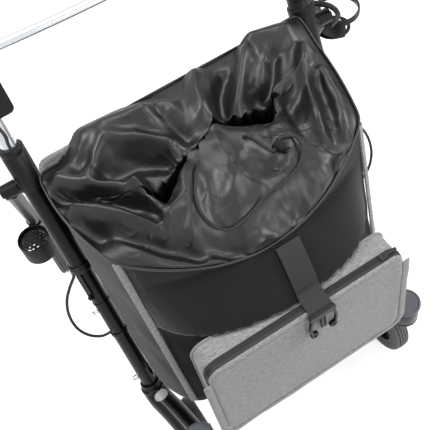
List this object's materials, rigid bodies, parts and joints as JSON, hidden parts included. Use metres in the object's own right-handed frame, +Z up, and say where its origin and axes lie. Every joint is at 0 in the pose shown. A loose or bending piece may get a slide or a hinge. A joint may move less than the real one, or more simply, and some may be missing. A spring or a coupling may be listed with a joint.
{
  "type": "shopping rollator",
  "caption": "Folding walking frame on wheels with a gathered shopping bag, a front pocket, hand brakes and holders for a drink and a cane.",
  "frame": {"origin": "middle of the whole outline in plan, on the ground under the wheels", "axes": "+Z up; -Y the way the rollator rolls, with the pocket in front; +X to the right seen from the front"},
  "size_m": [0.703, 0.7724, 0.8629],
  "materials": {
    "black_paint": "gloss",
    "black_plastic": "satin",
    "chrome_stud": "polished",
    "cable_sheath": "matt",
    "silver_tube": "bright anodised",
    "grip_rubber": "matt",
    "grey_tyre": "matt",
    "cap_grey": "satin",
    "woven_fabric": "coarse weave",
    "nylon": "satin weave",
    "heather_fabric": "heathered felt",
    "webbing": "ribbed",
    "cord": "braided"
  },
  "bodies": {
    "frame": {"height_sleeve_left": "black_plastic", "upper_tube_left": "black_paint", "lower_tube_left": "black_paint", "guide_stud_left": "chrome_stud", "brake_cable_loop_left": "cable_sheath", "brake_cable_upper_left": "cable_sheath", "front_housing_left": "black_plastic", "caster_cap_left": "cap_grey", "height_sleeve_right": "black_plastic", "upper_tube_right": "black_paint", "lower_tube_right": "black_paint", "guide_stud_right": "chrome_stud", "brake_cable_loop_right": "cable_sheath", "brake_cable_upper_right": "cable_sheath", "front_housing_right": "black_plastic", "caster_cap_right": "cap_grey", "bag_bar": "black_paint", "shelf_bar": "black_paint", "bag_body": "woven_fabric", "bag_top": "nylon", "bag_back_panel": "heather_fabric", "front_pocket": "heather_fabric", "webbing_strap": "webbing", "strap_buckle": "black_plastic", "drawstring": "cord", "cord_lock": "black_plastic", "drink_holder": "black_plastic"},
    "handle": {"handle_tube_left": "silver_tube", "handle_housing_left": "black_plastic", "grip_left": "grip_rubber", "handle_tube_right": "silver_tube", "handle_housing_right": "black_plastic", "grip_right": "grip_rubber", "handle_bar": "silver_tube"},
    "rear_frame": {"rear_leg_left": "black_paint", "rear_leg_right": "black_paint", "rear_cross_tube": "black_paint", "cane_cup": "black_plastic"},
    "brake_lever_left": {"brake_lever_left": "black_plastic"},
    "brake_shoe_left": {"brake_shoe_left": "black_plastic"},
    "rear_wheel_left": {"rear_rim_left": "black_plastic", "rear_tyre_left": "grey_tyre"},
    "caster_left": {"caster_fork_left": "black_plastic"},
    "front_wheel_left": {"front_rim_left": "black_plastic", "front_tyre_left": "grey_tyre"},
    "brace_front_left": {"brace_front_left": "black_paint"},
    "brace_rear_left": {"brace_rear_left": "black_paint"},
    "brake_lever_right": {"brake_lever_right": "black_plastic"},
    "brake_shoe_right": {"brake_shoe_right": "black_plastic"},
    "rear_wheel_right": {"rear_rim_right": "black_plastic", "rear_tyre_right": "grey_tyre"},
    "caster_right": {"caster_fork_right": "black_plastic"},
    "front_wheel_right": {"front_rim_right": "black_plastic", "front_tyre_right": "grey_tyre"},
    "brace_front_right": {"brace_front_right": "black_paint"},
    "brace_rear_right": {"brace_rear_right": "black_paint"},
    "zip_slider": {"zip_slider": "black_plastic"},
    "cord_lock_button": {"cord_lock_button": "black_plastic"}
  },
  "joints": [
    {"name": "handle_height", "type": "slide", "parent": "frame", "child": "handle", "axis": [0, 0.342, 0.9397], "range_m": [-0.045, 0.06], "deforming": ["brake_cable_upper_left", "brake_cable_upper_right"]},
    {"name": "rear_fold", "type": "hinge", "parent": "frame", "child": "rear_frame", "pos_m": [-0.0245, -0.03932, 0.64862], "axis": [-1, 0, 0], "range_deg": [0, 30]},
    {"name": "brake_lever_left_pivot", "type": "hinge", "parent": "handle", "child": "brake_lever_left", "pos_m": [-0.2725, 0.03522, 0.78324], "axis": [1, 0, 0], "range_deg": [0, 7], "stiffness_Nm_per_rad": 0.5, "springref_deg": -11.46},
    {"name": "brake_shoe_left_pivot", "type": "hinge", "parent": "rear_frame", "child": "brake_shoe_left", "pos_m": [-0.304, 0.27842, 0.17194], "axis": [-1, 0, 0], "range_deg": [0, 3.2]},
    {"name": "rear_wheel_left_spin", "type": "hinge", "parent": "rear_frame", "child": "rear_wheel_left", "pos_m": [-0.304, 0.3062, 0.08], "axis": [1, 0, 0], "continuous": true},
    {"name": "caster_left_swivel", "type": "hinge", "parent": "frame", "child": "caster_left", "pos_m": [-0.2495, -0.3408, 0.175], "axis": [0, 0, 1], "continuous": true},
    {"name": "front_wheel_left_spin", "type": "hinge", "parent": "caster_left", "child": "front_wheel_left", "pos_m": [-0.2375, -0.2858, 0.075], "axis": [1, 0, 0], "continuous": true},
    {"name": "brace_front_left_pivot", "type": "hinge", "parent": "frame", "child": "brace_front_left", "pos_m": [-0.2563, -0.19152, 0.23045], "axis": [1, 0, 0], "range_deg": [0, 40.8]},
    {"name": "brace_rear_left_pivot", "type": "hinge", "parent": "rear_frame", "child": "brace_rear_left", "pos_m": [-0.2523, 0.21478, 0.23045], "axis": [-1, 0, 0], "range_deg": [0, 57.85]},
    {"name": "brake_lever_right_pivot", "type": "hinge", "parent": "handle", "child": "brake_lever_right", "pos_m": [0.2235, 0.03522, 0.78324], "axis": [1, 0, 0], "range_deg": [0, 7], "stiffness_Nm_per_rad": 0.5, "springref_deg": -11.46},
    {"name": "brake_shoe_right_pivot", "type": "hinge", "parent": "rear_frame", "child": "brake_shoe_right", "pos_m": [0.255, 0.27842, 0.17194], "axis": [-1, 0, 0], "range_deg": [0, 3.2]},
    {"name": "rear_wheel_right_spin", "type": "hinge", "parent": "rear_frame", "child": "rear_wheel_right", "pos_m": [0.255, 0.3062, 0.08], "axis": [1, 0, 0], "continuous": true},
    {"name": "caster_right_swivel", "type": "hinge", "parent": "frame", "child": "caster_right", "pos_m": [0.2005, -0.3408, 0.175], "axis": [0, 0, 1], "continuous": true},
    {"name": "front_wheel_right_spin", "type": "hinge", "parent": "caster_right", "child": "front_wheel_right", "pos_m": [0.1885, -0.2858, 0.075], "axis": [1, 0, 0], "continuous": true},
    {"name": "brace_front_right_pivot", "type": "hinge", "parent": "frame", "child": "brace_front_right", "pos_m": [0.2073, -0.19152, 0.23045], "axis": [1, 0, 0], "range_deg": [0, 40.8]},
    {"name": "brace_rear_right_pivot", "type": "hinge", "parent": "rear_frame", "child": "brace_rear_right", "pos_m": [0.2033, 0.21478, 0.23045], "axis": [-1, 0, 0], "range_deg": [0, 57.85]},
    {"name": "zip_slide", "type": "slide", "parent": "frame", "child": "zip_slider", "axis": [-1, 0, 0], "range_m": [0, 0.29]},
    {"name": "cord_lock_press", "type": "slide", "parent": "frame", "child": "cord_lock_button", "axis": [-0.448, 0.7863, 0.4256], "range_m": [0, 0.003], "stiffness_N_per_m": 200, "springref_m": -0.002}
  ],
  "couplings": [
    {"joint": "brake_shoe_left_pivot", "follows": "brake_lever_left_pivot", "ratio": 0.42},
    {"joint": "brace_front_left_pivot", "follows": "rear_fold", "ratio": 1.35},
    {"joint": "brace_rear_left_pivot", "follows": "rear_fold", "ratio": 1.9182},
    {"joint": "brake_shoe_right_pivot", "follows": "brake_lever_right_pivot", "ratio": 0.42},
    {"joint": "brace_front_right_pivot", "follows": "rear_fold", "ratio": 1.35},
    {"joint": "brace_rear_right_pivot", "follows": "rear_fold", "ratio": 1.9182}
  ]
}
